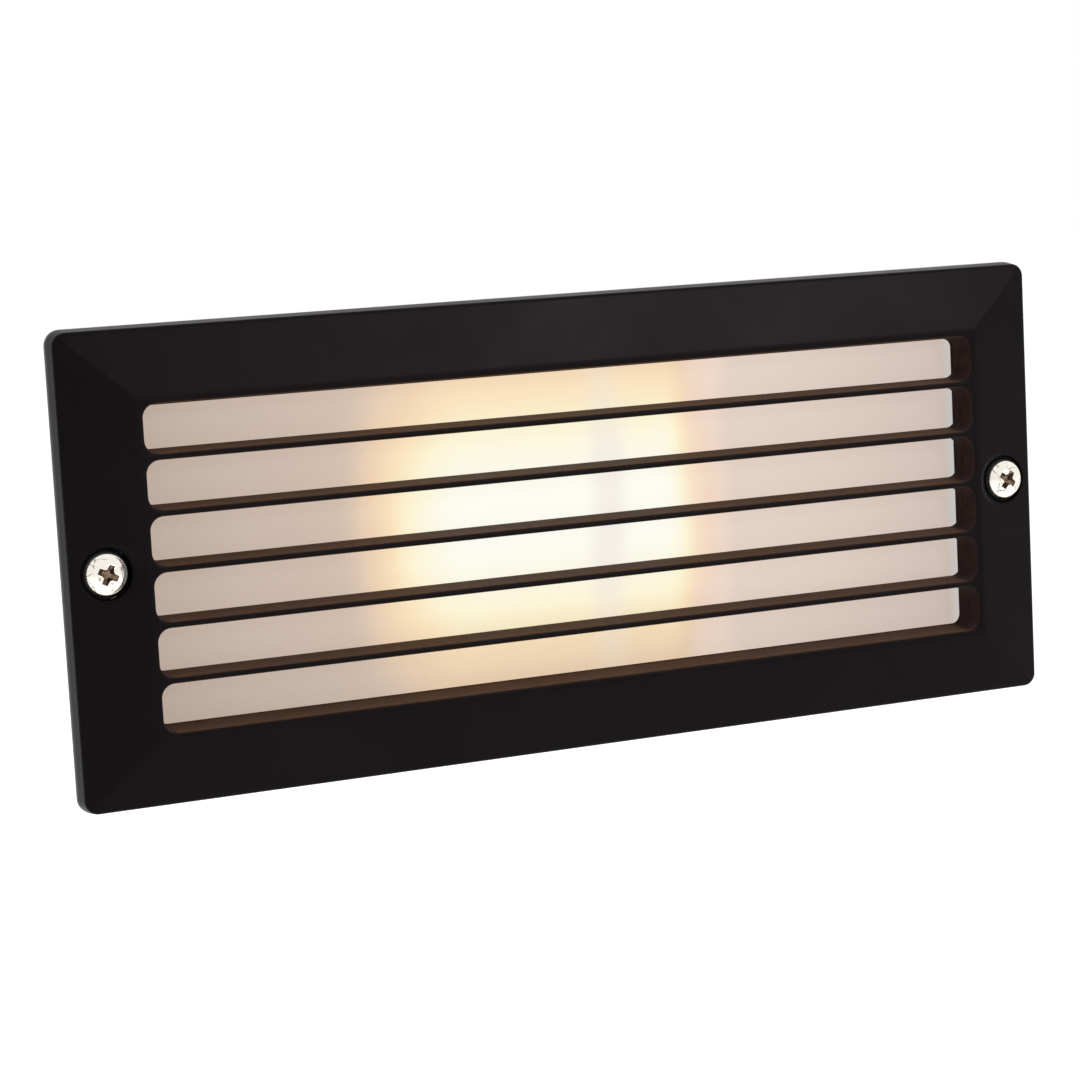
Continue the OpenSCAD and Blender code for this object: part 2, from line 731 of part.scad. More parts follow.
// Sprung centre contact that meets the eyelet of the lamp
module holder_contact() color([0.8, 0.68, 0.38]) {
    top = lamp_base_x - 0.3 - shell_back;
    turned(shell_back) polygon([
        [0, top - 0.7], [3.2, -0.2], [5, -0.2], [5, 0.4], [3.6, 0.4], [0.8, top], [0, top]
    ]);
}

module holder_rivets() color([0.8, 0.8, 0.82]) for (z = [-1, 1])
    translate([bracket_x, lamp_y, z * holder_screw_z]) rotate([0, -90, 0])
        pan_screw(small_screw_d, bracket_t + holder_screw_depth, small_head_d, small_head_h);

module terminal_block() color([0.94, 0.93, 0.88]) difference() {
    union() {
        for (i = [0:pole_n - 1]) {
            translate([pole_x(i) - (pole_pitch - pole_gap) / 2, block_y, block_z0])
                cube([pole_pitch - pole_gap, block_h, block_w]);
            for (z = [tube_screw_z, block_w - tube_screw_z])
                bar_y(pole_x(i), block_z0 + z, turret_d, block_y - turret_h, block_y + eps);
        }
        translate([block_x0 + 1, floor_y - block_pad - 3, block_z0 + 1])
            cube([block_len - 2, block_pad + 3, block_w - 2]);
    }
    for (i = [0:pole_n - 1]) {
        translate([pole_x(i), pole_y, block_z0 - over]) cylinder(d = tube_d + 0.1, h = block_w + 2 * over);
        for (z = [tube_screw_z, block_w - tube_screw_z])
            bar_y(pole_x(i), block_z0 + z, small_screw_d + 0.8, block_y - turret_h - over, pole_y);
    }
}

module terminal_tubes() color([0.78, 0.62, 0.3]) for (i = [0:pole_n - 1]) difference() {
    translate([pole_x(i), pole_y, block_z0 + 0.8]) cylinder(d = tube_d, h = block_w - 1.6);
    translate([pole_x(i), pole_y, block_z0]) cylinder(d = tube_bore, h = block_w);
    for (z = [tube_screw_z, block_w - tube_screw_z])
        bar_y(pole_x(i), block_z0 + z, small_screw_d + 2 * pilot_gap, pole_y - tube_d, pole_y);
}

module terminal_screws() color([0.8, 0.8, 0.82])
    for (i = [0:pole_n - 1], z = [tube_screw_z, block_w - tube_screw_z])
        translate([pole_x(i), pole_y - wire_d / 2 - 0.15, block_z0 + z]) rotate([90, 0, 0]) difference() {
            cylinder(d = small_screw_d, h = grub_len);
            translate([-small_screw_d, -grub_slot_w / 2, grub_len - grub_slot_h])
                cube([2 * small_screw_d, grub_slot_w, grub_slot_h + over]);
        }

// Bar that grips the cable where it comes into the box
module cord_clamp() color([0.2, 0.2, 0.2]) difference() {
    union() {
        translate([entry_x - clamp_hole_x, clamp_y, clamp_z - clamp_w / 2])
            cube([2 * clamp_hole_x, clamp_t, clamp_w]);
        for (side = [-1, 1]) bar_y(entry_x + side * clamp_hole_x, clamp_z, clamp_w, clamp_y, clamp_y + clamp_t);
        translate([entry_x, clamp_y + clamp_t, clamp_z - clamp_w / 2])
            intersection() {
                translate([-grip_w / 2, -eps, 0]) cube([grip_w, grip_h, clamp_w]);
                translate([0, grip_h - grip_r, 0]) cylinder(r = grip_r, h = clamp_w);
            }
    }
    for (side = [-1, 1])
        bar_y(entry_x + side * clamp_hole_x, clamp_z, fix_screw_d + 2 * hole_gap,
            clamp_y - over, clamp_y + clamp_t + over);
}

module clamp_screws() color([0.8, 0.8, 0.82]) for (side = [-1, 1])
    floor_screw(entry_x + side * clamp_hole_x, clamp_y, clamp_z, clamp_t + clamp_pad_h);

module earth_screw() color([0.78, 0.62, 0.3])
    floor_screw(earth_x, earth_y - tag_t, earth_z, tag_t + earth_pad_h);

tag_len = 12;
tag_arm_w = 3.2;
crimp_len = 6;

// Crimped ring on the end of the earth wire
module earth_tag() color([0.85, 0.85, 0.86]) difference() {
    union() {
        bar_y(earth_x, earth_z, fix_head_d + 1, earth_y - tag_t, earth_y);
        translate([earth_x, earth_y - tag_t, earth_z - tag_arm_w / 2])
            cube([tag_len - crimp_len + 2, tag_t, tag_arm_w]);
        translate([earth_x + tag_len - crimp_len, earth_y - tag_t - 1, earth_z])
            along_x() cylinder(d = wire_d + 1.4, h = crimp_len);
    }
    bar_y(earth_x, earth_z, fix_screw_d + 2 * pilot_gap, earth_y - 3, earth_y + over);
    translate([earth_x + tag_len - crimp_len + 1, earth_y - tag_t - 1, earth_z])
        along_x() cylinder(d = wire_d + 0.1, h = crimp_len);
}

// Smooth route through hand-chosen points, swept as a tube of round section
function spline(a, b, c, d, t) = 0.5 * (2 * b + (c - a) * t + (2 * a - 5 * b + 4 * c - d) * t * t
    + (3 * b - a - 3 * c + d) * t * t * t);
function route(p, n) = concat([
    for (i = [0:len(p) - 2], k = [0:n - 1])
        spline(p[max(i - 1, 0)], p[i], p[i + 1], p[min(i + 2, len(p) - 1)], k / n)
], [p[len(p) - 1]]);
function unit(v) = v / norm(v);
function heading(q, i) = unit(q[min(i + 1, len(q) - 1)] - q[max(i - 1, 0)]);

module tube_along(points, d) {
    sides = 8;
    q = route(points, 5);
    rings = len(q);
    ring_points = [for (i = [0:rings - 1])
        let(t = heading(q, i), u = unit(cross(t, [0.31, 0.52, 0.8])), v = cross(t, u))
        for (k = [0:sides - 1]) q[i] + d / 2 * (cos(360 * k / sides) * u + sin(360 * k / sides) * v)];
    walls = [for (i = [0:rings - 2], k = [0:sides - 1])
        let(a = i * sides + k, b = i * sides + (k + 1) % sides)
        each [[a, b, b + sides], [a, b + sides, a + sides]]];
    caps = [[for (k = [sides - 1:-1:0]) k], [for (k = [0:sides - 1]) (rings - 1) * sides + k]];
    polyhedron(ring_points, concat(walls, caps), convexity = 10);
}

wire_floor_z = -27.6;
wire_turn_x = bracket_x + 7;
wire_end_x = holder_x + 8;
wire_in = 4;

// Route of a wire from its pole to the back of the lamp holder
function holder_route(i, y, z, side, lane) = [
    [pole_x(i), pole_y, block_z0 + wire_in],
    [pole_x(i), pole_y, block_z0 + wire_in / 2],
    [pole_x(i), pole_y, block_z0 - 0.5],
    [pole_x(i) - 3.5, y, z],
    [block_x0 - 6, y, z],
    [20, y, z],
    [bracket_x + 47, y, z],
    [wire_turn_x, y, z],
    [bracket_x - 4 - lane, y - 6, z + 3 + lane / 3],
    [bracket_x - 8 - lane, lamp_y + 10, -14 + lane],
    [bracket_x - 6 - lane / 2, lamp_y + 1, side * wire_exit_z],
    [bracket_x, lamp_y, side * wire_exit_z],
    [wire_end_x, lamp_y, side * wire_exit_z]
];

module live_wire() color([0.45, 0.27, 0.16])
    tube_along(holder_route(0, pole_y + 0.8, wire_floor_z, -1, 0), wire_d);

module neutral_wire() color([0.2, 0.4, 0.68])
    tube_along(holder_route(1, pole_y + 3.6, wire_floor_z + 0.6, 1, 3.6), wire_d);

module earth_wire() color([0.3, 0.6, 0.25]) tube_along([
    [pole_x(2), pole_y, block_z0 + wire_in],
    [pole_x(2), pole_y, block_z0 + wire_in / 2],
    [pole_x(2), pole_y, block_z0 - 0.5],
    [pole_x(2) - 4, pole_y + 3, block_z0 - 4.3],
    [block_x0 + 10, pole_y + 6.2, wire_floor_z + 1.9],
    [block_x0 - 3, pole_y + 6.3, wire_floor_z + 1.9],
    [block_x0 - 18, pole_y + 6.3, wire_floor_z + 3.2],
    [20, pole_y + 6.3, -24],
    [earth_x + 32, pole_y + 6, -24],
    [earth_x + 22, pole_y + 4.6, -22.3],
    [earth_x + tag_len + 3, earth_y - tag_t - 1, earth_z],
    [earth_x + tag_len + 1, earth_y - tag_t - 1, earth_z],
    [earth_x + tag_len - 2, earth_y - tag_t - 1, earth_z],
    [earth_x + tag_len - 4.5, earth_y - tag_t - 1, earth_z]
], wire_d);

cap_len = 24;
neck_r = 12.4;
bulb_wall = 0.8;
cap_floor_r = 9.6;
cap_floor_x = 3.2;
eyelet_r = 4.4;
eyelet_t = 3.4;

// Outline of the bulb as [radius, distance from its far end], shrunk by a wall
function bulb_outline(wall) =
    let(r = lamp_d / 2 - wall, top = lamp_d / 2, neck_end = lamp_len - cap_len + 1.5, nr = neck_r - wall,
        lean = 38, x0 = r * cos(lean), y0 = top + r * sin(lean))
    concat(
        [for (a = [-90:6:lean]) [r * cos(a), top + r * sin(a)]],
        [for (k = [1:8]) let(t = k / 8, s = t * t * (3 - 2 * t))
            [x0 + (nr - x0) * (t + (t - s) * 0.55), y0 + (neck_end - 5 - y0) * t]],
        [[nr, neck_end]]);

module lamp_glass() color([0.97, 0.95, 0.9]) translate([lamp_end_x, lamp_y, 0]) rotate([0, -90, 0])
    rotate_extrude() {
        outer = bulb_outline(0);
        inner = bulb_outline(bulb_wall);
        polygon(concat(outer, [for (i = [len(inner) - 1:-1:0]) inner[i]]));
    }

module lamp_cap() color([0.82, 0.82, 0.8]) {
    wall = 0.4;
    outer = thread_wave(cap_r, 5, 3.6);
    inner = [for (i = [len(outer) - 1:-1:0]) outer[i] - [wall, 0]];
    turned(lamp_base_x) polygon(concat(
        [[cap_floor_r, cap_floor_x]], outer,
        [[cap_r - 0.3, cap_len - 2], [neck_r + 0.6, cap_len], [neck_r + 0.2, cap_len]],
        [[cap_r - 0.3 - wall, cap_len - 2]], inner, [[cap_floor_r, cap_floor_x + wall]]));
}

module lamp_insulator() color([0.1, 0.1, 0.12])
    turned(lamp_base_x) polygon([
        [eyelet_r, 1], [eyelet_r + 0.6, 0.8], [cap_floor_r, cap_floor_x], [cap_floor_r, cap_floor_x + 0.4],
        [cap_floor_r - 1, cap_floor_x + 1.2], [eyelet_r, eyelet_t]
    ]);

module lamp_eyelet() color([0.8, 0.78, 0.72])
    turned(lamp_base_x) polygon([
        [0, 0], [eyelet_r - 2, 0.1], [eyelet_r - 0.2, 0.9], [eyelet_r, 1.2], [eyelet_r, eyelet_t], [0, eyelet_t]
    ]);

stem_x = lamp_base_x + cap_len - 0.5;
stem_len = 34;
lead_len = 22.9;
lead_z = 3.2;

// Glass stem that carries the filament
module lamp_stem() color([0.85, 0.9, 0.92]) {
    flare_r = neck_r - bulb_wall - 0.1;
    turned(stem_x) polygon([
        [0, 0], [flare_r, 0], [flare_r, 1.2], [5.5, 4], [3.2, 9],
        [2.6, 16], [1.5, 20], [1, stem_len], [0, stem_len + 0.6]
    ]);
}

// Coiled filament on its two lead wires
module lamp_filament() color([0.95, 0.8, 0.5]) {
    half_span = 8.4;
    lead_lean = 13.4;
    lead_d = 0.7;
    coil_d = 1.4;
    for (z = [-1, 1]) translate([stem_x + 15, lamp_y, z * lead_z])
        rotate([0, 90 - z * lead_lean, 0]) cylinder(d = lead_d, h = lead_len);
    translate([stem_x + stem_len + 3, lamp_y, -half_span]) cylinder(d = coil_d, h = 2 * half_span);
}

front_cover();
glass_panel();
glass_gasket();
glass_clips();
clip_screws();
left_screw();
right_screw();
left_washer();
right_washer();
screw_inserts();
back_box();
box_gasket();
cable_grommet();
entry_plug();
reflector_tray();
tray_screws();
holder_bracket();
bracket_screws();
holder_body();
holder_shell();
holder_contact();
holder_rivets();
terminal_block();
terminal_tubes();
terminal_screws();
cord_clamp();
clamp_screws();
earth_screw();
earth_tag();
live_wire();
neutral_wire();
earth_wire();
lamp_glass();
lamp_cap();
lamp_insulator();
lamp_eyelet();
lamp_stem();
lamp_filament();
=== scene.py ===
import json
import math

import bmesh
import bpy
from mathutils import Matrix, Vector
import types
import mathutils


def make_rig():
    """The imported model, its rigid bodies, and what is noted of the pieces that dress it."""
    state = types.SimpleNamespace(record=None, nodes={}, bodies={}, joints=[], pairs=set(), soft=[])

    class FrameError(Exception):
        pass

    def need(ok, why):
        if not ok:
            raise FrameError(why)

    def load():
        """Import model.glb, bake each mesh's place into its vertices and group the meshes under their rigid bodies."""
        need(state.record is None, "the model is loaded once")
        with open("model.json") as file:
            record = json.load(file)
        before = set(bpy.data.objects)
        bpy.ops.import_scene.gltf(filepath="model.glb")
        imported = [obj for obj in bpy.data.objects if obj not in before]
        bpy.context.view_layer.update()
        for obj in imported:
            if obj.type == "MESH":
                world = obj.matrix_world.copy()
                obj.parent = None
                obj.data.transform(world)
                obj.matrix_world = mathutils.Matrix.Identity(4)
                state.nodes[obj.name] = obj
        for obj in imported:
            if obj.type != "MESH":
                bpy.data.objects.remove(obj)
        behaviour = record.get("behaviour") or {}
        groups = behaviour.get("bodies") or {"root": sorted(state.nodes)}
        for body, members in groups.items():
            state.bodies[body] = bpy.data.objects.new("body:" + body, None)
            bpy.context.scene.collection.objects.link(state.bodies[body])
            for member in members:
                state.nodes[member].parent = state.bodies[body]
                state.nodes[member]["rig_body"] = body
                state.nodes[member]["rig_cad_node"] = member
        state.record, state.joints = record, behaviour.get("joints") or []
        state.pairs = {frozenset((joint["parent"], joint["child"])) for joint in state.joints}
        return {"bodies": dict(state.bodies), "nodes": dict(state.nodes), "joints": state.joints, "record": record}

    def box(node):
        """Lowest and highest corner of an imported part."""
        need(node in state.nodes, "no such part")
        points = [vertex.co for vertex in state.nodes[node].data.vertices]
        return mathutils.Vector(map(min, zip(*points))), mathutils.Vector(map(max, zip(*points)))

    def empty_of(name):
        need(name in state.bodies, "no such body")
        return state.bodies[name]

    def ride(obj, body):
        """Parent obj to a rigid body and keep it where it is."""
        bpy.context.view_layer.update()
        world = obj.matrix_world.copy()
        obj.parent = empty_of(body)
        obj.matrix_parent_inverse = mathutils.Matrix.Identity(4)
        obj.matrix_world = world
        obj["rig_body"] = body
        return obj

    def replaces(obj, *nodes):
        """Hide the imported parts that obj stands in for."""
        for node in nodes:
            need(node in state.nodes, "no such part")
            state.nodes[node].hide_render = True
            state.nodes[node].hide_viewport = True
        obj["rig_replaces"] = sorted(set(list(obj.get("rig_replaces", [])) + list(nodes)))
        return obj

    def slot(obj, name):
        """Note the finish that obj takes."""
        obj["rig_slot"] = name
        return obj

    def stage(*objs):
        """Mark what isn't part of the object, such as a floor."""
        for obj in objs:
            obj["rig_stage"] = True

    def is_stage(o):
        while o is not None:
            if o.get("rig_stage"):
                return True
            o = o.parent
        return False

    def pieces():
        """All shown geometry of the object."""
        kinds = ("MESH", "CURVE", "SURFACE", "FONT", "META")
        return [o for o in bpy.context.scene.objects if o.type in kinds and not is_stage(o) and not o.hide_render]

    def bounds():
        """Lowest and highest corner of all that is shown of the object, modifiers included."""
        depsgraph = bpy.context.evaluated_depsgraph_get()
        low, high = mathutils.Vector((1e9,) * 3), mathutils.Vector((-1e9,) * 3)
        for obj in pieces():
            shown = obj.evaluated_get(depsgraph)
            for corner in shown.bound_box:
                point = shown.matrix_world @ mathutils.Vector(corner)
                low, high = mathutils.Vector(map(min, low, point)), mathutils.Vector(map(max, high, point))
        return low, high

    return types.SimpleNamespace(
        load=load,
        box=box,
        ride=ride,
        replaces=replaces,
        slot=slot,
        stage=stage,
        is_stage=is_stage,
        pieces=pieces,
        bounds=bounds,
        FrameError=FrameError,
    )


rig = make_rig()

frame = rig.load()
NODES = frame["nodes"]
scene = bpy.context.scene
MM = 0.001

lo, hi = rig.bounds()
with open("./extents.json", "w") as f:
    json.dump({"before": [list(lo), list(hi)]}, f)


# ---------------------------------------------------------------- camera
def make_camera():
    """The camera that a perspective fit of the photo gives, in metres in the part's frame."""
    place = (-0.27480, -0.61089, 0.08135)
    data = bpy.data.cameras.new("Camera")
    cam = bpy.data.objects.new("Camera", data)
    scene.collection.objects.link(cam)
    right = Vector((0.91281, -0.40505, -0.05214)).normalized()
    forward = Vector((0.39631, 0.90938, -0.12637)).normalized()
    up = right.cross(forward).normalized()
    right = forward.cross(up)
    turn = Matrix((right, up, -forward)).transposed().to_4x4()
    cam.matrix_world = Matrix.Translation(place) @ turn
    data.lens = 98.028
    data.sensor_width = 36
    data.clip_start = 0.01
    data.clip_end = 30
    scene.camera = cam


make_camera()
scene.view_settings.view_transform = "Standard"


# ---------------------------------------------------------------- node helpers
class Net:
    """A small helper round one node tree."""

    def __init__(self, tree):
        self.tree = tree

    def node(self, kind, **settings):
        n = self.tree.nodes.new(kind)
        for k, v in settings.items():
            setattr(n, k, v)
        return n

    def link(self, a, b):
        self.tree.links.new(a, b)

    def put(self, socket, value):
        if isinstance(value, bpy.types.NodeSocket):
            self.link(value, socket)
        else:
            socket.default_value = value

    def math(self, op, a, b=0.5, c=None, clamp=False):
        n = self.node("ShaderNodeMath", operation=op, use_clamp=clamp)
        self.put(n.inputs[0], a)
        self.put(n.inputs[1], b)
        if c is not None:
            self.put(n.inputs[2], c)
        return n.outputs[0]

    def mix(self, fac, a, b, blend="MIX"):
        n = self.node("ShaderNodeMix", data_type="RGBA", blend_type=blend)
        self.put(n.inputs["Factor"], fac)
        self.put(n.inputs[6], a)
        self.put(n.inputs[7], b)
        return n.outputs[2]

    def remap(self, value, a, b, c, d, smooth=False):
        n = self.node("ShaderNodeMapRange")
        if smooth:
            n.interpolation_type = "SMOOTHSTEP"
        self.put(n.inputs["Value"], value)
        n.inputs["From Min"].default_value = a
        n.inputs["From Max"].default_value = b
        n.inputs["To Min"].default_value = c
        n.inputs["To Max"].default_value = d
        return n.outputs["Result"]

    def noise(self, vector, scale, detail=3.0, rough=0.55, distortion=0.0):
        n = self.node("ShaderNodeTexNoise")
        self.put(n.inputs["Vector"], vector)
        n.inputs["Scale"].default_value = scale
        n.inputs["Detail"].default_value = detail
        n.inputs["Roughness"].default_value = rough
        n.inputs["Distortion"].default_value = distortion
        return n.outputs["Fac"]

    def voronoi(self, vector, scale):
        n = self.node("ShaderNodeTexVoronoi")
        self.put(n.inputs["Vector"], vector)
        n.inputs["Scale"].default_value = scale
        return n.outputs["Distance"]

    def stretch(self, vector, sx, sy, sz):
        n = self.node("ShaderNodeMapping")
        self.put(n.inputs["Vector"], vector)
        n.inputs["Scale"].default_value = (sx, sy, sz)
        return n.outputs["Vector"]

    def bump(self, height, strength, distance, normal=None):
        n = self.node("ShaderNodeBump")
        n.inputs["Strength"].default_value = strength
        n.inputs["Distance"].default_value = distance
        self.put(n.inputs["Height"], height)
        if normal is not None:
            self.put(n.inputs["Normal"], normal)
        return n.outputs["Normal"]


def rgb(r, g, b):
    """A colour as seen on screen, 0 to 255, turned to linear light."""
    out = []
    for c in (r, g, b):
        c /= 255
        out.append(c / 12.92 if c <= 0.04045 else ((c + 0.055) / 1.055) ** 2.4)
    return (*out, 1.0)


def start(name):
    """A new node material with its tree helper, its shader and its object coordinates."""
    m = bpy.data.materials.new(name)
    m.use_nodes = True
    net = Net(m.node_tree)
    bsdf = m.node_tree.nodes["Principled BSDF"]
    place = net.node("ShaderNodeTexCoord").outputs["Object"]
    return m, net, bsdf, place


def finish_of(
    name,
    dark,
    light,
    metallic,
    rough,
    spots=60.0,
    grain=900.0,
    bump=0.1,
    depth=0.0001,
    along=None,
    specular=0.5,
    coat=0.0,
    dust=None,
    sub=0.0,
):
    """A solid finish: two tones in soft spots, roughness that varies with wear, fine grain in the surface."""
    m, net, bsdf, place = start(name)
    base = net.stretch(place, *along) if along else place
    patch = net.noise(place, spots, 4.0, 0.6)
    fine = net.noise(base, grain, 3.0, 0.6)
    tone = net.mix(net.remap(patch, 0.3, 0.7, 0.0, 1.0, True), dark, light)
    if dust:
        speck = net.noise(place, spots * 9, 5.0, 0.7)
        tone = net.mix(net.remap(speck, 0.62, 0.8, 0.0, 0.35), tone, dust)
    net.put(bsdf.inputs["Base Color"], tone)
    bsdf.inputs["Metallic"].default_value = metallic
    bsdf.inputs["Specular IOR Level"].default_value = specular
    wear = net.math("ADD", net.math("MULTIPLY", fine, 0.5), net.math("MULTIPLY", patch, 0.5))
    net.put(bsdf.inputs["Roughness"], net.remap(wear, 0.3, 0.7, rough[0], rough[1]))
    if coat:
        bsdf.inputs["Coat Weight"].default_value = coat
        bsdf.inputs["Coat Roughness"].default_value = 0.12
    if sub:
        bsdf.inputs["Subsurface Weight"].default_value = sub
        bsdf.inputs["Subsurface Scale"].default_value = 0.002
    net.put(bsdf.inputs["Normal"], net.bump(fine, bump, depth))
    return m


# ---------------------------------------------------------------- finishes
def cover_paint():
    """Satin black enamel: fine orange peel, faint flecks, soft edges, and the lamp's glow painted brown in the slots.
    """
    end_wall_x = (0.0988, 0.1)  # |x| over which the slot walls turn from bars to ends
    slots_x = (0.1030, 0.1036)  # |x| at which the group of slots ends
    slots_z = (0.0364, 0.0368)  # |z| at which it ends
    land_y = (-0.00882, -0.00856)  # y over which the painted brown glow begins behind the front land
    m, net, bsdf, place = start("CoverPaint")
    axes = net.node("ShaderNodeSeparateXYZ")
    net.put(axes.inputs[0], place)
    x, y, z = axes.outputs["X"], axes.outputs["Y"], axes.outputs["Z"]
    cloud = net.noise(place, 28.0, 5.0, 0.6)
    peel = net.noise(place, 900.0, 2.0, 0.5)
    grain = net.noise(place, 3200.0, 2.0, 0.6)
    fleck = net.voronoi(place, 1500.0)
    tone = net.mix(net.remap(cloud, 0.35, 0.65, 0.0, 1.0, True), rgb(9, 7, 8), rgb(14, 11, 12))
    tone = net.mix(net.remap(fleck, 0.0, 0.14, 0.16, 0.0), tone, rgb(60, 54, 54))
    # painted glow: the lamp's light on the black paint, painted brown in the slots, with faint streaks
    streak = net.noise(net.stretch(place, 1.0, 1.0, 0.6), 640.0, 4.0, 0.62)
    glow_streaks = net.remap(streak, 0.3, 0.7, 0.0, 1.0, True)
    # painted light: the lamp's glow as brown on the bars, and a dimmer painted glow on the slot end walls
    bars = net.mix(glow_streaks, rgb(76, 55, 41), rgb(88, 63, 48))
    ends = net.mix(glow_streaks, rgb(50, 37, 36), rgb(62, 47, 45))
    painted_slot_glow = net.mix(net.remap(net.math("ABSOLUTE", x), *end_wall_x, 0.0, 1.0, True), bars, ends)
    across = net.remap(net.math("ABSOLUTE", x), *slots_x, 1.0, 0.0, True)
    upright = net.remap(net.math("ABSOLUTE", z), *slots_z, 1.0, 0.0, True)
    deep = net.remap(y, *land_y, 0.0, 1.0, True)
    inside = net.math("MULTIPLY", net.math("MULTIPLY", across, upright), deep)
    net.put(bsdf.inputs["Base Color"], net.mix(inside, tone, painted_slot_glow))
    net.put(bsdf.inputs["Specular IOR Level"], net.remap(inside, 0.0, 1.0, 0.072, 0.05))
    bsdf.inputs["Specular Tint"].default_value = (1.0, 0.82, 0.86, 1.0)
    rough = net.remap(cloud, 0.3, 0.7, 0.33, 0.43)
    net.put(bsdf.inputs["Roughness"], net.math("MULTIPLY_ADD", inside, 0.25, rough))
    soft = net.node("ShaderNodeBevel", samples=8)
    soft.inputs["Radius"].default_value = 0.0008
    normal = net.bump(peel, 0.1, 0.0001, soft.outputs["Normal"])
    net.put(bsdf.inputs["Normal"], net.bump(grain, 0.08, 0.00004, normal))
    return m


def nickel_plate():
    """Bright nickel on a pressed head: warm white, with fine brown lines of painted reflection and rubbed patches."""
    m, net, bsdf, place = start("PolishedNickel")
    patch = net.noise(place, 420.0, 3.0, 0.6)
    fine = net.noise(place, 3200.0, 3.0, 0.6)
    bent = net.node("ShaderNodeVectorMath", operation="MULTIPLY_ADD")
    net.put(bent.inputs[0], net.node("ShaderNodeTexNoise", noise_dimensions="3D").outputs["Color"])
    bent.inputs[1].default_value = (0.0012, 0.0012, 0.0012)
    net.put(bent.inputs[2], place)
    reflection_cells = net.node("ShaderNodeTexVoronoi", feature="DISTANCE_TO_EDGE")
    net.put(reflection_cells.inputs["Vector"], bent.outputs[0])
    reflection_cells.inputs["Scale"].default_value = 330.0
    # painted reflection: fine warm-brown lines standing in for the glow's distorted reflection on the head
    painted_reflection = net.remap(reflection_cells.outputs["Distance"], 0.015, 0.05, 1.0, 0.0, True)
    painted_reflection = net.math("MULTIPLY", painted_reflection, net.remap(patch, 0.45, 0.55, 0.0, 0.75, True))
    tone = net.mix(patch, rgb(246, 240, 228), rgb(252, 248, 240))
    net.put(bsdf.inputs["Base Color"], net.mix(painted_reflection, tone, rgb(112, 90, 66)))
    bsdf.inputs["Metallic"].default_value = 0.76
    net.put(bsdf.inputs["Roughness"], net.remap(fine, 0.3, 0.7, 0.05, 0.12))
    net.put(bsdf.inputs["Normal"], net.bump(patch, 0.12, 0.0002))
    return m


def ramp_of(net, value, stops, kind="LINEAR"):
    """Colour ramp through (position, screen colour) stops."""
    n = net.node("ShaderNodeValToRGB")
    ramp = n.color_ramp
    ramp.interpolation = kind
    for at, _ in stops[1:-1]:
        ramp.elements.new(at)
    for e, (at, colour) in zip(ramp.elements, stops):
        e.position = at
        e.color = rgb(*colour)
    net.put(n.inputs["Fac"], value)
    return n.outputs["Color"]


def frosted_glass():
    """Opal glass with the lamp's light behind it painted in as emission: white core, orange where it fades, beige far
    from it.
    """
    half_width = 0.104
    core_left, core_right = (-0.064, -0.026), (0.022, 0.042)  # x over which the glow fades
    blue_x, rose_x = 0.0085, 0.035  # middles of the lavender and the rose band
    m, net, bsdf, place = start("FrostedGlass")
    axes = net.node("ShaderNodeSeparateXYZ")
    net.put(axes.inputs[0], place)
    x, z = axes.outputs["X"], axes.outputs["Z"]
    sway = net.noise(net.stretch(place, 1.0, 1.0, 0.5), 30.0, 2.0, 0.5)
    x = net.math("ADD", x, net.math("MULTIPLY", net.math("SUBTRACT", sway, 0.5), 0.012))
    far = ramp_of(net, net.remap(x, -half_width, half_width, 0.0, 1.0), [
        (0.0, (184, 164, 151)),
        (0.12, (198, 179, 165)),
        (0.3, (214, 192, 175)),
        (0.5, (224, 203, 187)),
        (0.7, (231, 212, 198)),
        (0.86, (218, 200, 188)),
        (1.0, (204, 186, 175)),
    ], "B_SPLINE")
    left = net.remap(x, *core_left, 0.0, 1.0, True)
    right = net.remap(x, *core_right, 1.0, 0.0, True)
    off_middle = net.math("ABSOLUTE", net.math("ADD", z, -0.002))
    high = net.remap(off_middle, 0.002, 0.046, 1.0, 0.22, True)
    core = net.math("MULTIPLY", net.math("MULTIPLY", left, right), high)
    hot = ramp_of(net, core, [
        (0.0, (226, 202, 182)),
        (0.3, (239, 210, 178)),
        (0.5, (253, 228, 188)),
        (0.7, (255, 247, 214)),
        (1.0, (255, 255, 244)),
    ])
    glow = net.mix(net.remap(core, 0.0, 0.3, 0.0, 1.0, True), far, hot)
    # painted light: faint lavender and rose bands in the glow
    from_blue = net.math("ABSOLUTE", net.math("ADD", x, -blue_x))
    blue = net.math("MULTIPLY", net.remap(from_blue, 0.001, 0.0065, 0.6, 0.0, True), high)
    glow = net.mix(blue, glow, rgb(240, 231, 226))
    from_rose = net.math("ABSOLUTE", net.math("ADD", x, -rose_x))
    rose = net.remap(from_rose, 0.002, 0.008, 0.6, 0.0, True)
    glow = net.mix(rose, glow, rgb(246, 220, 204))
    # painted shade: the glow dims towards the bottom
    low = net.remap(z, -0.036, -0.014, 0.9, 1.0, True)
    shade = net.node("ShaderNodeCombineXYZ")
    for socket in shade.inputs:
        net.put(socket, low)
    glow = net.mix(1.0, glow, shade.outputs[0], "MULTIPLY")
    # painted shade: a greyer, unlit strip at the right end of the glass
    edge = net.remap(axes.outputs["X"], 0.0984, 0.1012, 0.0, 0.9, True)
    glow = net.mix(edge, glow, rgb(204, 201, 198))
    net.put(bsdf.inputs["Emission Color"], glow)
    bsdf.inputs["Emission Strength"].default_value = 0.91
    frost = net.noise(place, 2600.0, 3.0, 0.6)
    body = net.mix(net.remap(frost, 0.4, 0.6, 0.0, 1.0), rgb(84, 82, 79), rgb(100, 97, 93))
    net.put(bsdf.inputs["Base Color"], body)
    net.put(bsdf.inputs["Roughness"], net.remap(frost, 0.35, 0.65, 0.5, 0.66))
    bsdf.inputs["Specular IOR Level"].default_value = 0.35
    net.put(bsdf.inputs["Normal"], net.bump(frost, 0.05, 0.00003))
    return m


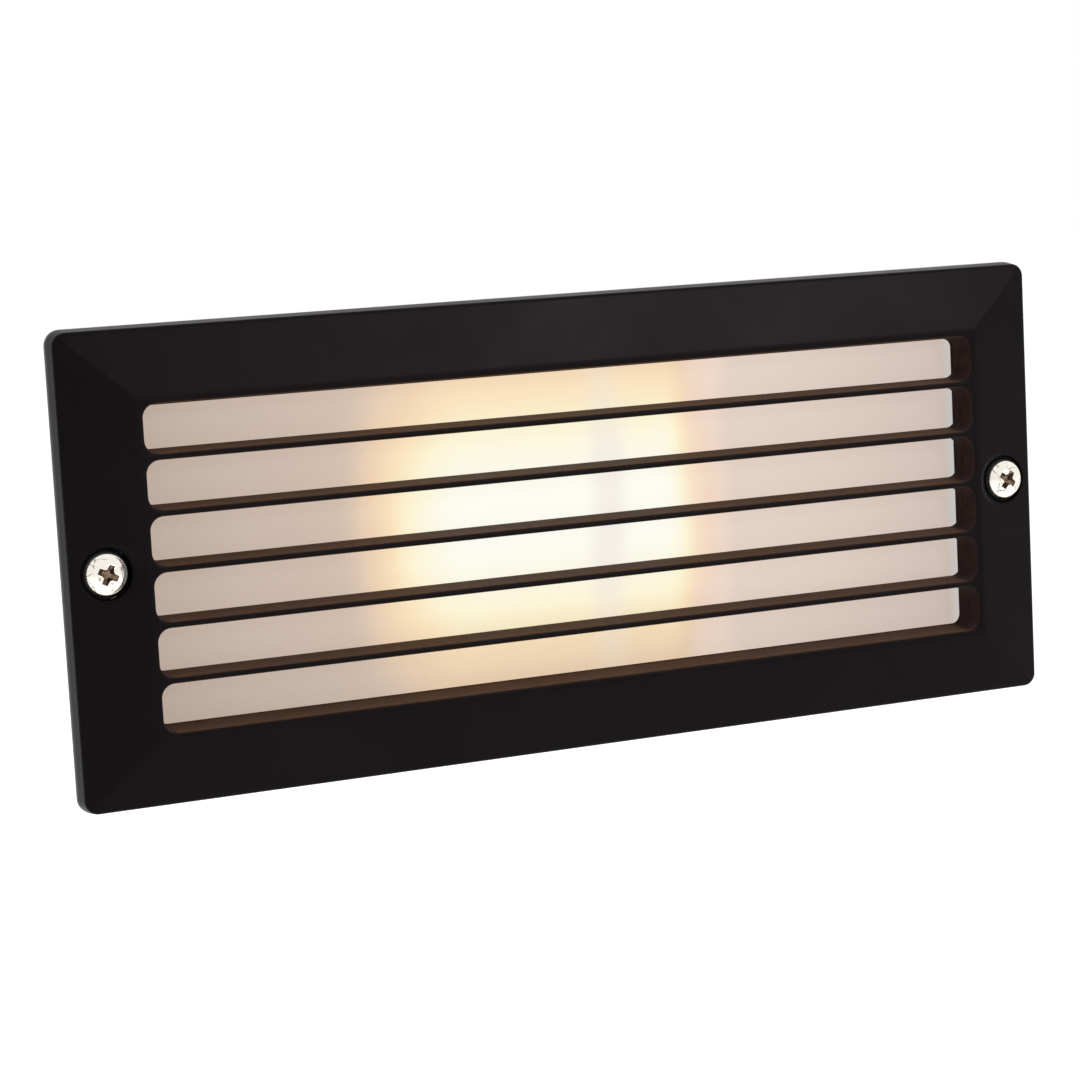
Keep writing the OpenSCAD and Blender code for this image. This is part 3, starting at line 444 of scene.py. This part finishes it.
def lamp_glass():
    """White coated bulb, lit: brighter round the filament, cooler towards the neck."""
    m, net, bsdf, place = start("LampGlass")
    axes = net.node("ShaderNodeSeparateXYZ")
    net.put(axes.inputs[0], place)
    coat = net.noise(place, 240.0, 4.0, 0.6)
    warm = net.remap(axes.outputs["X"], -0.050, 0.010, 0.0, 1.0, True)
    body = net.mix(net.remap(coat, 0.3, 0.7, 0.0, 1.0), rgb(226, 222, 212), rgb(240, 237, 228))
    net.put(bsdf.inputs["Base Color"], body)
    net.put(bsdf.inputs["Emission Color"], net.mix(warm, rgb(236, 184, 120), rgb(255, 238, 200)))
    bsdf.inputs["Emission Strength"].default_value = 1.6
    net.put(bsdf.inputs["Roughness"], net.remap(coat, 0.3, 0.7, 0.16, 0.3))
    return m


def earth_sleeve():
    """Green sleeve with a yellow stripe that winds round it."""
    m, net, bsdf, place = start("EarthSleeve")
    wave = net.node("ShaderNodeTexWave")
    wave.bands_direction = "DIAGONAL"
    net.put(wave.inputs["Vector"], place)
    wave.inputs["Scale"].default_value = 75.0
    wave.inputs["Distortion"].default_value = 0.4
    fine = net.noise(place, 1500.0, 2.0)
    stripe = net.remap(wave.outputs["Fac"], 0.45, 0.55, 0.0, 1.0, True)
    net.put(bsdf.inputs["Base Color"], net.mix(stripe, rgb(40, 120, 52), rgb(226, 204, 44)))
    net.put(bsdf.inputs["Roughness"], net.remap(fine, 0.3, 0.7, 0.34, 0.5))
    net.put(bsdf.inputs["Normal"], net.bump(fine, 0.08, 0.00005))
    return m


def tungsten():
    """Coiled filament, lit: grey wire with a warm glow."""
    m, net, bsdf, place = start("Tungsten")
    fine = net.noise(place, 3000.0, 2.0)
    net.put(bsdf.inputs["Base Color"], net.mix(fine, rgb(90, 84, 78), rgb(150, 140, 128)))
    net.put(bsdf.inputs["Emission Color"], net.mix(fine, rgb(255, 190, 96), rgb(255, 226, 160)))
    bsdf.inputs["Emission Strength"].default_value = 4.0
    bsdf.inputs["Metallic"].default_value = 1.0
    net.put(bsdf.inputs["Roughness"], net.remap(fine, 0.3, 0.7, 0.3, 0.5))
    return m


PAINT = cover_paint()
GLASS = frosted_glass()
NICKEL = nickel_plate()
# painted shade: the cross recess is nickel like the head, made dark brown for the shade inside it
SHADED_RECESS = finish_of(
    "RecessNickelPaintedShade", rgb(74, 58, 48), rgb(150, 126, 104), 0.8, (0.22, 0.36),
    spots=900.0, grain=3200.0, bump=0.2, depth=0.00006,
)
FINISHES = {
    "front_cover": PAINT,
    "glass_panel": GLASS,
    "glass_gasket": finish_of(
        "SealRubber", rgb(24, 24, 25), rgb(38, 38, 40), 0.0, (0.6, 0.8),
        spots=90.0, grain=1400.0, bump=0.25, depth=0.0001, specular=0.3,
    ),
    "glass_clips": finish_of(
        "SpringSteel", rgb(168, 170, 173), rgb(196, 198, 200), 1.0, (0.24, 0.4),
        spots=160.0, grain=1800.0, bump=0.12, depth=0.00005, along=(1.0, 1.0, 0.06),
    ),
    "clip_screws": finish_of(
        "ZincScrew", rgb(176, 178, 184), rgb(208, 210, 212), 1.0, (0.2, 0.36),
        spots=240.0, grain=2600.0, bump=0.1, depth=0.00005,
    ),
    "left_screw": NICKEL,
    "screw_inserts": finish_of(
        "BrassInsert", rgb(176, 138, 68), rgb(206, 170, 94), 1.0, (0.2, 0.36),
        spots=220.0, grain=2600.0, bump=0.1, depth=0.00005,
    ),
    "back_box": finish_of(
        "BoxPaint", rgb(42, 42, 44), rgb(56, 56, 58), 0.0, (0.4, 0.55),
        spots=34.0, grain=1100.0, bump=0.22, depth=0.0001, dust=rgb(110, 106, 102), specular=0.4,
    ),
    "box_gasket": finish_of(
        "FoamSeal", rgb(20, 20, 21), rgb(32, 32, 33), 0.0, (0.75, 0.92),
        spots=120.0, grain=1700.0, bump=0.5, depth=0.00015, specular=0.2,
    ),
    "cable_grommet": finish_of(
        "GrommetRubber", rgb(26, 26, 28), rgb(42, 42, 44), 0.0, (0.5, 0.7),
        spots=90.0, grain=1200.0, bump=0.2, depth=0.0001, specular=0.35,
    ),
    "reflector_tray": finish_of(
        "WhiteEnamel", rgb(214, 213, 208), rgb(228, 227, 223), 0.0, (0.18, 0.32),
        spots=36.0, grain=500.0, bump=0.06, depth=0.0001, coat=0.5,
    ),
    "holder_bracket": finish_of(
        "ZincSheet", rgb(160, 163, 168), rgb(192, 195, 198), 1.0, (0.28, 0.46),
        spots=120.0, grain=1500.0, bump=0.1, depth=0.00005, along=(0.1, 1.0, 1.0),
    ),
    "holder_body": finish_of(
        "Porcelain", rgb(222, 218, 208), rgb(234, 231, 223), 0.0, (0.1, 0.2),
        spots=60.0, grain=700.0, bump=0.05, depth=0.0001, coat=0.8, sub=0.08,
    ),
    "holder_shell": finish_of(
        "BrassShell", rgb(184, 146, 74), rgb(214, 178, 100), 1.0, (0.18, 0.34),
        spots=160.0, grain=2000.0, bump=0.08, depth=0.00005, along=(0.1, 1.0, 1.0),
    ),
    "terminal_block": finish_of(
        "BlockPlastic", rgb(218, 212, 196), rgb(230, 225, 211), 0.0, (0.36, 0.5),
        spots=80.0, grain=1300.0, bump=0.12, depth=0.00008, sub=0.05,
    ),
    "cord_clamp": finish_of(
        "ClampPlastic", rgb(36, 36, 38), rgb(52, 52, 54), 0.0, (0.42, 0.58),
        spots=80.0, grain=1300.0, bump=0.2, depth=0.00008,
    ),
    "earth_tag": finish_of(
        "TinnedTag", rgb(186, 186, 184), rgb(212, 212, 209), 1.0, (0.26, 0.42),
        spots=200.0, grain=2200.0, bump=0.12, depth=0.00005,
    ),
    "live_wire": finish_of(
        "LiveSleeve", rgb(98, 58, 34), rgb(120, 74, 46), 0.0, (0.34, 0.5),
        spots=120.0, grain=1500.0, bump=0.08, depth=0.00005,
    ),
    "neutral_wire": finish_of(
        "NeutralSleeve", rgb(34, 78, 150), rgb(50, 98, 172), 0.0, (0.34, 0.5),
        spots=120.0, grain=1500.0, bump=0.08, depth=0.00005,
    ),
    "earth_wire": earth_sleeve(),
    "lamp_glass": lamp_glass(),
    "lamp_cap": finish_of(
        "LampCap", rgb(176, 176, 172), rgb(204, 204, 200), 1.0, (0.24, 0.4),
        spots=160.0, grain=2000.0, bump=0.1, depth=0.00005, along=(0.1, 1.0, 1.0),
    ),
    "lamp_insulator": finish_of(
        "CapInsulator", rgb(24, 24, 34), rgb(38, 38, 50), 0.0, (0.12, 0.24),
        spots=120.0, grain=1500.0, bump=0.05, depth=0.00005, coat=0.6,
    ),
    "lamp_stem": finish_of(
        "StemGlass", rgb(190, 202, 204), rgb(212, 222, 224), 0.0, (0.08, 0.16),
        spots=60.0, grain=800.0, bump=0.04, depth=0.00005,
    ),
    "lamp_filament": tungsten(),
}
SAME = {
    "right_screw": "left_screw",
    "left_washer": "glass_gasket",
    "right_washer": "glass_gasket",
    "entry_plug": "cable_grommet",
    "tray_screws": "clip_screws",
    "bracket_screws": "clip_screws",
    "holder_contact": "holder_shell",
    "holder_rivets": "clip_screws",
    "terminal_tubes": "screw_inserts",
    "terminal_screws": "clip_screws",
    "clamp_screws": "clip_screws",
    "earth_screw": "screw_inserts",
    "lamp_eyelet": "earth_tag",
}
for name, obj in NODES.items():
    obj.data.materials.clear()
    obj.data.materials.append(FINISHES[SAME.get(name, name)])


# ---------------------------------------------------------------- cover screws
HEAD_D = 9.0 * MM
HEAD_H = 2.7 * MM
RECESS_DEPTH = 1.75 * MM
SHANK_LENGTH = 16.0  # in mm, under the head
SEAT_GAP = 0.02 * MM  # keeps the underside of the head just clear of the sealing washer


def finish_mesh(bm, name, *materials):
    """Object from a bmesh, smooth and with its normals outwards."""
    bmesh.ops.recalc_face_normals(bm, faces=bm.faces)
    mesh = bpy.data.meshes.new(name)
    bm.to_mesh(mesh)
    bm.free()
    for face in mesh.polygons:
        face.use_smooth = True
    obj = bpy.data.objects.new(name, mesh)
    scene.collection.objects.link(obj)
    for material in materials:
        obj.data.materials.append(material)
    return obj


def ring_of(bm, radius, height, count):
    """Ring of vertices round Z, or a single one on the axis."""
    if radius == 0:
        return [bm.verts.new((0, 0, height))]
    turn = 2 * math.pi / count
    return [
        bm.verts.new((radius * math.cos(i * turn), radius * math.sin(i * turn), height))
        for i in range(count)
    ]


def join_rings(bm, a, b):
    """Faces between two rings, of which one may be a single vertex."""
    count = max(len(a), len(b))
    for i in range(count):
        k = (i + 1) % count
        corners = [a[i % len(a)], a[k % len(a)], b[k % len(b)], b[i % len(b)]]
        bm.faces.new(list(dict.fromkeys(corners)))


def lathe(bm, profile, count=96):
    """Closed turned shape through (radius, height) points, from bottom centre to top centre."""
    rings = [ring_of(bm, r, h, count) for r, h in profile]
    for a, b in zip(rings, rings[1:]):
        join_rings(bm, a, b)


def frustum(bm, z0, half0, z1, half1):
    """Four-sided taper between two heights, with half its width and length at each."""
    corners = ((-1, -1), (1, -1), (1, 1), (-1, 1))
    rings = []
    for z, (hx, hy) in ((z0, half0), (z1, half1)):
        rings.append([bm.verts.new((sx * hx, sy * hy, z)) for sx, sy in corners])
    low, top = rings
    bm.faces.new(list(reversed(low)))
    bm.faces.new(top)
    for i in range(4):
        k = (i + 1) % 4
        bm.faces.new((low[i], low[k], top[k], top[i]))


def cutters():
    """Cross recess to cut from the head: two crossing tapered slots and the cone between them."""
    floor, above = HEAD_H - RECESS_DEPTH, HEAD_H + 0.2 * MM
    made = []
    for swap in (False, True):
        bm = bmesh.new()
        low, top = (1.05, 0.42), (2.85, 0.8)
        if swap:
            low, top = low[::-1], top[::-1]
        frustum(bm, floor, [v * MM for v in low], above, [v * MM for v in top])
        made.append(bm)
    bm = bmesh.new()
    lathe(bm, [(0, floor - 0.25 * MM), (0.75 * MM, floor), (1.45 * MM, above), (0, above)], 48)
    made.append(bm)
    return made


def screw_head(name, material):
    """Low pan head with a softly rounded rim and a pressed cross recess."""
    r_out = HEAD_D / 2
    crown = 0.62 * HEAD_H
    ball = (HEAD_D * HEAD_D / 4 + crown * crown) / (2 * crown)  # radius of the crown
    chamfer = 0.15 * MM
    inset = 0.22 * MM  # how far the rounded rim draws in
    rim_h = HEAD_H - crown - 0.28 * MM  # where the rim starts to round
    profile = [
        (0, SEAT_GAP),
        (r_out - chamfer, SEAT_GAP),
        (r_out, SEAT_GAP + chamfer),
        (r_out, rim_h),
    ]
    reach = r_out - inset
    crown_h = HEAD_H - ball + math.sqrt(ball * ball - reach * reach)
    for t in (0.3, 0.6, 0.85):
        turn = t * math.pi / 2
        r = r_out - inset * (1 - math.cos(turn))
        profile.append((r, rim_h + (crown_h - rim_h) * math.sin(turn)))
    steps = 24
    for i in range(steps):
        r = reach * (1 - i / steps)
        profile.append((r, HEAD_H - ball + math.sqrt(ball * ball - r * r)))
    profile.append((0, HEAD_H))
    bm = bmesh.new()
    lathe(bm, profile)
    head = finish_mesh(bm, name, material)
    tools = []
    for i, cut in enumerate(cutters()):
        tool = finish_mesh(cut, f"{name}_cut{i}", SHADED_RECESS)
        tools.append(tool)
        mod = head.modifiers.new(f"Cut{i}", "BOOLEAN")
        mod.operation = "DIFFERENCE"
        mod.solver = "EXACT"
        mod.material_mode = "TRANSFER"
        mod.object = tool
    soft = head.modifiers.new("Soft", "BEVEL")
    soft.width = 0.07 * MM
    soft.segments = 2
    soft.limit_method = "ANGLE"
    soft.angle_limit = math.radians(40)
    bpy.context.view_layer.update()
    deps = bpy.context.evaluated_depsgraph_get()
    mesh = bpy.data.meshes.new_from_object(head.evaluated_get(deps))
    for tool in tools:
        bpy.data.objects.remove(tool)
    bpy.data.objects.remove(head)
    bm = bmesh.new()
    bm.from_mesh(mesh)
    for e in bm.edges:
        e.smooth = len(e.link_faces) != 2 or e.calc_face_angle(0) < math.radians(32)
    for f in bm.faces:
        f.smooth = True
    return bm


def threaded_shank(bm):
    """Plain neck, rolled thread and a short lead-in tip, going down from the head, all in mm."""
    pitch, root, crest = 0.7, 1.60, 1.98
    neck, run_out, lead_in = 1.2, 0.6, 1.2
    sunk = 0.1  # start of the shank inside the head
    count, per_turn = 40, 10
    rings = []
    steps = int((SHANK_LENGTH - sunk) / pitch * per_turn)
    for j in range(steps + 1):
        z = sunk - j * SHANK_LENGTH / steps
        ring = []
        grip = min(max((-z - neck) / run_out, 0.0), 1.0)
        tip = min((SHANK_LENGTH + z) / lead_in, 1.0)
        for i in range(count):
            u = (z / pitch + i / count) % 1.0
            wave = min(max((abs(u - 0.5) * 2 - 0.12) / 0.76, 0.0), 1.0)
            r = (root + (crest - root) * wave * grip) * (0.72 + 0.28 * tip) * MM
            a = 2 * math.pi * i / count
            ring.append(bm.verts.new((r * math.cos(a), r * math.sin(a), z * MM)))
        rings.append(ring)
    for a, b in zip(rings, rings[1:]):
        join_rings(bm, a, b)
    for ring, z in ((rings[0], sunk), (rings[-1], -SHANK_LENGTH)):
        join_rings(bm, ring, [bm.verts.new((0, 0, z * MM))])


def cover_screw(side, node, body, angle):
    """Fine cover screw in place of its plain node, turned by the angle in degrees."""
    bm = screw_head(node + "_head", NICKEL)
    threaded_shank(bm)
    low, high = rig.box(node)
    seat = high[1] - SHANK_LENGTH * MM
    middle = (low[0] + high[0]) / 2
    spin = Matrix.Rotation(math.radians(angle), 4, "Z")
    lay_down = Matrix.Rotation(math.pi / 2, 4, "X")
    move = Matrix.Translation((middle, seat, 0)) @ lay_down @ spin
    bmesh.ops.transform(bm, matrix=move, verts=bm.verts)
    for f in bm.faces:
        f.smooth = True
    obj = finish_mesh(bm, side + "_cover_screw", NICKEL, SHADED_RECESS)
    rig.replaces(obj, node)
    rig.ride(obj, body)
    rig.slot(obj, "plated_screw")


cover_screw("left", "left_screw", "left_fastener", -26)
cover_screw("right", "right_screw", "right_fastener", -35)


# ---------------------------------------------------------------- studio
def make_world():
    """White for camera, glossy and transmission rays; a soft uneven studio for the rest."""
    world = bpy.data.worlds.new("Studio")
    scene.world = world
    world.use_nodes = True
    net = Net(world.node_tree)
    world.node_tree.nodes.clear()
    out = net.node("ShaderNodeOutputWorld")
    path = net.node("ShaderNodeLightPath")
    coord = net.node("ShaderNodeTexCoord")
    axes = net.node("ShaderNodeSeparateXYZ")
    net.put(axes.inputs[0], coord.outputs["Generated"])
    behind = net.remap(axes.outputs["Y"], -0.1, 0.4, 0.0, 1.0, True)
    behind_level = net.remap(axes.outputs["X"], 0.66, 0.84, 0.62, 0.06, True)
    near_side = net.remap(axes.outputs["X"], -0.05, 0.5, 0.0, 1.0, True)
    far_side = net.remap(axes.outputs["X"], 0.45, 0.8, 1.0, 0.5, True)
    side = net.math("MULTIPLY", near_side, far_side)
    rise = net.remap(axes.outputs["Z"], -0.75, 0.3, 0.2, 1.0, True)
    ceiling = net.remap(axes.outputs["Z"], 0.42, 0.72, 1.0, 0.06, True)
    front = net.math("MULTIPLY", net.math("MULTIPLY", side, rise), ceiling)
    front = net.math("MULTIPLY_ADD", front, 1.5, 0.05)
    strip = net.remap(axes.outputs["X"], 0.84, 0.92, 0.0, 1.1, True)
    front = net.math("MULTIPLY_ADD", strip, ceiling, front)
    mixed = net.node("ShaderNodeMix", data_type="FLOAT")
    net.put(mixed.inputs[0], behind)
    net.put(mixed.inputs[2], front)
    net.put(mixed.inputs[3], behind_level)
    seen = net.math("MAXIMUM", path.outputs["Is Camera Ray"], path.outputs["Is Transmission Ray"])
    seen = net.math("MAXIMUM", seen, path.outputs["Is Glossy Ray"])
    above = net.remap(axes.outputs["Z"], 0.35, 0.8, 0.0, 0.7, True)
    even = net.math("ADD", net.math("MULTIPLY", mixed.outputs[0], 0.45), above)
    soft = net.math("MULTIPLY", net.math("SUBTRACT", 1.0, seen), even)
    level = net.math("ADD", seen, soft)
    bg = net.node("ShaderNodeBackground")
    bg.inputs["Color"].default_value = (1, 1, 1, 1)
    net.put(bg.inputs["Strength"], level)
    net.link(bg.outputs[0], out.inputs[0])


def area(name, place, size, size_y, power, colour=(1, 1, 1), mirrored=False):
    """Softbox aimed at the origin; only a mirrored one shows in reflections."""
    data = bpy.data.lights.new(name, "AREA")
    data.shape = "RECTANGLE"
    data.size = size
    data.size_y = size_y
    data.energy = power
    data.color = colour
    lamp = bpy.data.objects.new(name, data)
    scene.collection.objects.link(lamp)
    lamp.location = place
    lamp.rotation_euler = (-Vector(place)).to_track_quat("-Z", "Y").to_euler()
    lamp.visible_camera = False
    lamp.visible_glossy = mirrored


def make_floor():
    """Pale floor that shows near white where a camera, glossy or transmission ray meets it."""
    bpy.ops.mesh.primitive_plane_add(size=14, location=(0, 0, -0.30))
    floor = bpy.context.object
    floor.name = "Floor"
    m, net, bsdf, place = start("PaleFloor")
    m.node_tree.nodes.remove(bsdf)
    out = m.node_tree.nodes["Material Output"]
    path = net.node("ShaderNodeLightPath")
    cloth = net.noise(place, 9.0, 4.0, 0.5)
    diffuse = net.node("ShaderNodeBsdfDiffuse")
    tone = net.mix(cloth, rgb(236, 236, 235), rgb(241, 241, 240))
    net.put(diffuse.inputs["Color"], tone)
    glow = net.node("ShaderNodeEmission")
    glow.inputs["Color"].default_value = (1, 1, 1, 1)
    seen = net.math("MAXIMUM", path.outputs["Is Camera Ray"], path.outputs["Is Transmission Ray"])
    seen = net.math("MAXIMUM", seen, path.outputs["Is Glossy Ray"])
    net.put(glow.inputs["Strength"], net.math("MULTIPLY", seen, 0.55))
    both = net.node("ShaderNodeAddShader")
    net.link(diffuse.outputs[0], both.inputs[0])
    net.link(glow.outputs[0], both.inputs[1])
    net.link(both.outputs[0], out.inputs["Surface"])
    floor.data.materials.append(m)
    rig.stage(floor)


make_world()
make_floor()
area("KeySoftbox", (0.6, -1.14, 0.5), 0.28, 0.28, 4.0, (1.0, 0.985, 0.97), mirrored=True)
area("TopSoftbox", (0.0, -0.15, 1.1), 1.2, 0.8, 5.0)
area("FillSoftbox", (-1.1, -0.3, 0.35), 0.5, 0.9, 0.5, (0.97, 0.98, 1.0))
area("BackSoftbox", (0.2, 1.3, 0.8), 1.2, 1.0, 2.5)

lo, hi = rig.bounds()
with open("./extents.json") as f:
    sizes = json.load(f)
sizes["after"] = [list(lo), list(hi)]
with open("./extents.json", "w") as f:
    json.dump(sizes, f)
